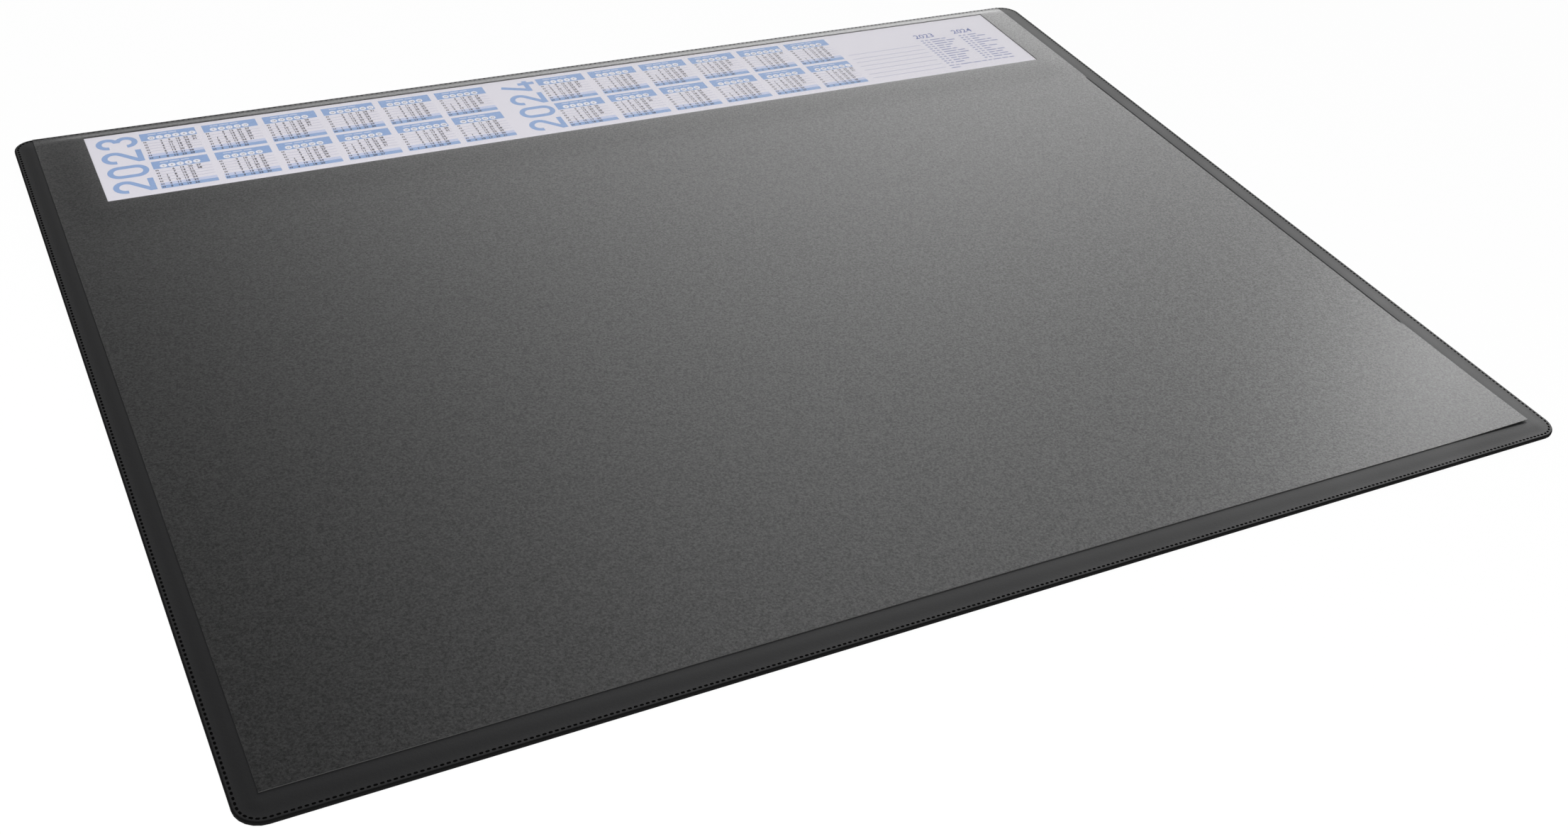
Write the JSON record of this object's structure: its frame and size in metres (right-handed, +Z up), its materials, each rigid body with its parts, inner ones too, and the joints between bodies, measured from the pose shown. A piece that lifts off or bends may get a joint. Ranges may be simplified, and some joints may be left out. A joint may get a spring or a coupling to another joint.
{
  "type": "desk pad calendar",
  "caption": "Flat desk mat with a stitched-look welded rim, a clear writing film joined along its far edge and a loose printed calendar card beneath the film.",
  "frame": {"origin": "centre of the flat underside, on the desk", "axes": "+X along the long side to the right, +Y to the far edge with the calendar, +Z up out of the writing field"},
  "size_m": [0.65, 0.52, 0.0034],
  "materials": {
    "foam_base": "dark grey foamed plastic, finely dimpled, non-slip",
    "cover_sheet": "black soft plastic with a fine leather-like grain, half matt",
    "calendar_card": "pale uncoated paper card printed in two blues and grey",
    "clear_overlay": "clear anti-glare film with a fine matt grain and a soft reflection"
  },
  "bodies": {
    "root": {"foam_base": "foam_base", "cover_sheet": "cover_sheet", "calendar_card": "calendar_card", "clear_overlay": "clear_overlay"}
  },
  "joints": []
}
